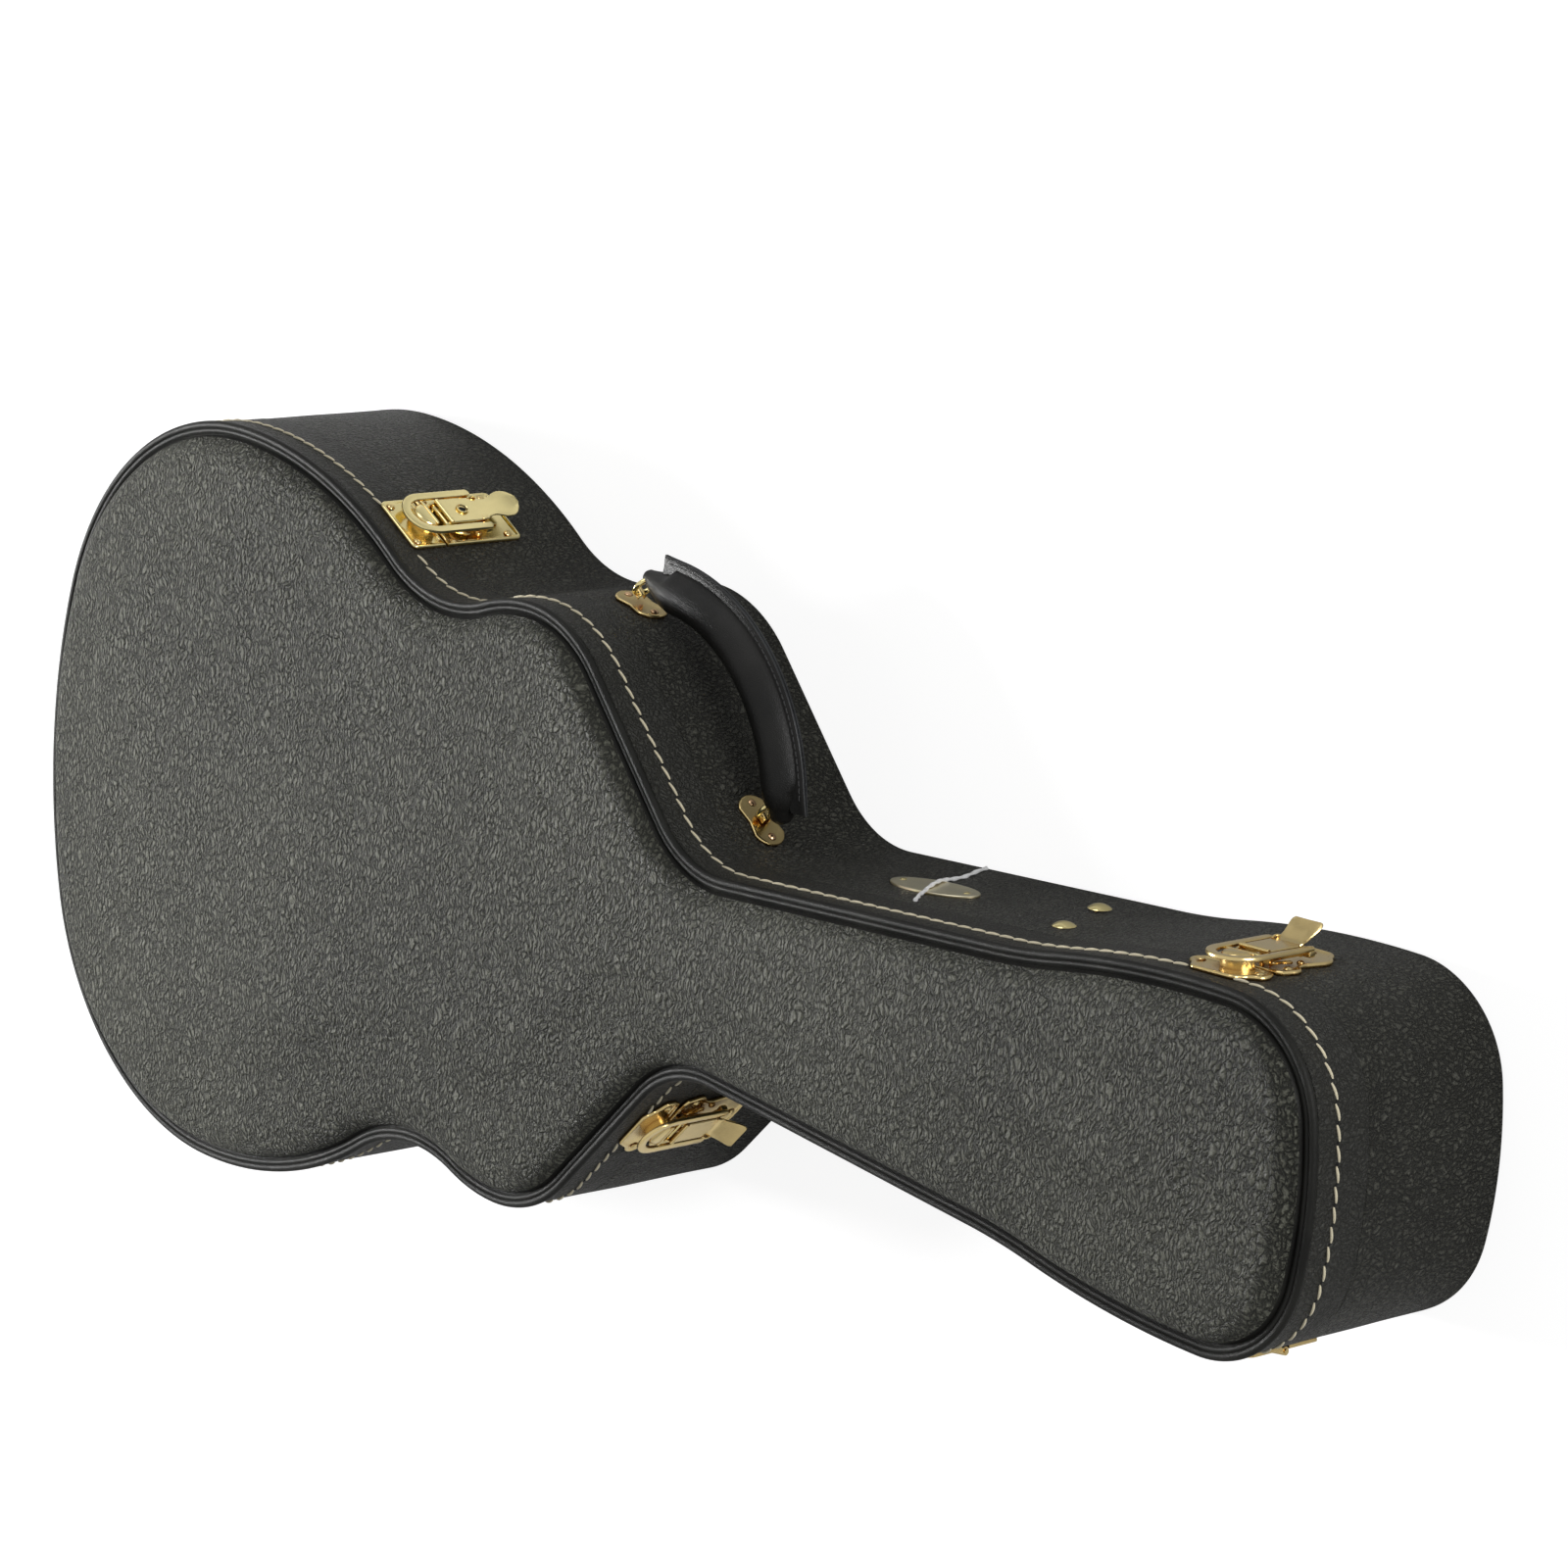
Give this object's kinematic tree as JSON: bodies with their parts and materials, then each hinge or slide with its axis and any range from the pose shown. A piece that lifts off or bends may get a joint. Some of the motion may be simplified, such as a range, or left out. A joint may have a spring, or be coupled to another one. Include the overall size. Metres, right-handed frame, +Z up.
{
  "type": "guitar case",
  "caption": "Hard guitar case with arched hinged lid, draw latches, swinging carry handle, plush lined guitar-shaped hollow and accessory compartment.",
  "frame": {"origin": "on the underside of the back panel, on the centre line, below the widest part of the lower bout", "axes": "+Z up through the lid with the case on its back, +X to the butt end, -X to the head end, -Y the handle side, +Y the hinge side"},
  "size_m": [1.0566, 0.4434, 0.1565],
  "materials": {
    "tolex": "pebbled charcoal vinyl leathercloth over plywood",
    "cord": "smooth black piping",
    "grip": "smooth black leather",
    "gold": "polished gold-plated steel",
    "pale_brass": "satin pale brass",
    "plush": "burgundy plush",
    "ribbon": "woven ribbon"
  },
  "bodies": {
    "base": {"base_rim": "tolex", "back_panel": "tolex", "rim_tongue": "plush", "base_lining": "plush", "neck_cradle": "plush", "accessory_box": "plush", "accessory_pin": "gold", "bout_latch_base": "gold", "head_latch_base": "gold", "shoulder_latch_base": "gold", "butt_latch_base": "gold", "latch_pivot_pins": "gold", "base_plate_rivets": "gold", "bout_hinge_base_leaf": "gold", "head_hinge_base_leaf": "gold", "hinge_pins": "gold", "hinge_base_rivets": "gold", "bout_handle_mount": "gold", "neck_handle_mount": "gold", "handle_mount_rivets": "gold", "oval_plate": "pale_brass", "oval_plate_pins": "gold", "neck_studs": "gold"},
    "lid": {"lid_rim": "tolex", "lid_panel": "tolex", "lid_piping": "cord", "lid_lining": "plush", "bout_catch_plate": "gold", "head_catch_plate": "gold", "shoulder_catch_plate": "gold", "butt_catch_plate": "gold", "lid_plate_rivets": "gold", "bout_hinge_lid_leaf": "gold", "head_hinge_lid_leaf": "gold", "hinge_lid_rivets": "gold"},
    "handle": {"handle_grip": "grip", "bout_handle_ring": "gold", "neck_handle_ring": "gold"},
    "accessory_cover": {"accessory_lid": "plush", "accessory_pull": "ribbon"},
    "bout_lever_body": {"bout_lever": "gold", "bout_loop_pin": "gold"},
    "bout_loop_body": {"bout_loop": "gold"},
    "head_lever_body": {"head_lever": "gold", "head_loop_pin": "gold"},
    "head_loop_body": {"head_loop": "gold"},
    "shoulder_lever_body": {"shoulder_lever": "gold", "shoulder_loop_pin": "gold"},
    "shoulder_loop_body": {"shoulder_loop": "gold"},
    "butt_lever_body": {"butt_lever": "gold", "butt_loop_pin": "gold"},
    "butt_loop_body": {"butt_loop": "gold"},
    "key_body": {"bout_key_cylinder": "gold"}
  },
  "joints": [
    {"name": "lid_hinge", "type": "hinge", "parent": "base", "child": "lid", "pos_m": [-0.04215, 0.21817, 0.099], "axis": [-0.9868, -0.1617, 0], "range_deg": [0, 105]},
    {"name": "bout_lever_pivot", "type": "hinge", "parent": "base", "child": "bout_lever_body", "pos_m": [-0.1321, -0.1898, 0.093], "axis": [-0.866, 0.5, 0], "range_deg": [0, 110]},
    {"name": "bout_loop_pivot", "type": "hinge", "parent": "bout_lever_body", "child": "bout_loop_body", "pos_m": [-0.13205, -0.18972, 0.067], "axis": [-0.866, 0.5, 0], "range_deg": [-110, 0]},
    {"name": "head_lever_pivot", "type": "hinge", "parent": "base", "child": "head_lever_body", "pos_m": [-0.77322, -0.0957, 0.093], "axis": [-0.9988, -0.0488, 0], "range_deg": [0, 110]},
    {"name": "head_loop_pivot", "type": "hinge", "parent": "head_lever_body", "child": "head_loop_body", "pos_m": [-0.77322, -0.0956, 0.067], "axis": [-0.9988, -0.0488, 0], "range_deg": [-110, 0]},
    {"name": "shoulder_lever_pivot", "type": "hinge", "parent": "base", "child": "shoulder_lever_body", "pos_m": [-0.36711, 0.10831, 0.093], "axis": [0.673, 0.7396, 0], "range_deg": [0, 110]},
    {"name": "shoulder_loop_pivot", "type": "hinge", "parent": "shoulder_lever_body", "child": "shoulder_loop_body", "pos_m": [-0.36703, 0.10824, 0.067], "axis": [0.673, 0.7396, 0], "range_deg": [-110, 0]},
    {"name": "butt_lever_pivot", "type": "hinge", "parent": "base", "child": "butt_lever_body", "pos_m": [0.1782, 0, 0.093], "axis": [0, -1, 0], "range_deg": [0, 110]},
    {"name": "butt_loop_pivot", "type": "hinge", "parent": "butt_lever_body", "child": "butt_loop_body", "pos_m": [0.1781, 0, 0.067], "axis": [0, -1, 0], "range_deg": [-110, 0]},
    {"name": "key_turn", "type": "hinge", "parent": "bout_lever_body", "child": "key_body", "pos_m": [-0.1335, -0.19223, 0.079], "axis": [-0.5, -0.866, 0], "range_deg": [0, 90]},
    {"name": "handle_swing", "type": "hinge", "parent": "base", "child": "handle", "pos_m": [-0.34554, -0.12862, 0.073], "axis": [-0.7489, 0.6627, 0], "range_deg": [-50, 50]},
    {"name": "accessory_lid_hinge", "type": "hinge", "parent": "base", "child": "accessory_cover", "pos_m": [-0.474, 0.0275, 0.0545], "axis": [-1, 0, 0], "range_deg": [0, 85]}
  ],
  "couplings": [
    {"joint": "bout_loop_pivot", "follows": "bout_lever_pivot", "ratio": -1},
    {"joint": "head_loop_pivot", "follows": "head_lever_pivot", "ratio": -1},
    {"joint": "shoulder_loop_pivot", "follows": "shoulder_lever_pivot", "ratio": -1},
    {"joint": "butt_loop_pivot", "follows": "butt_lever_pivot", "ratio": -1}
  ]
}
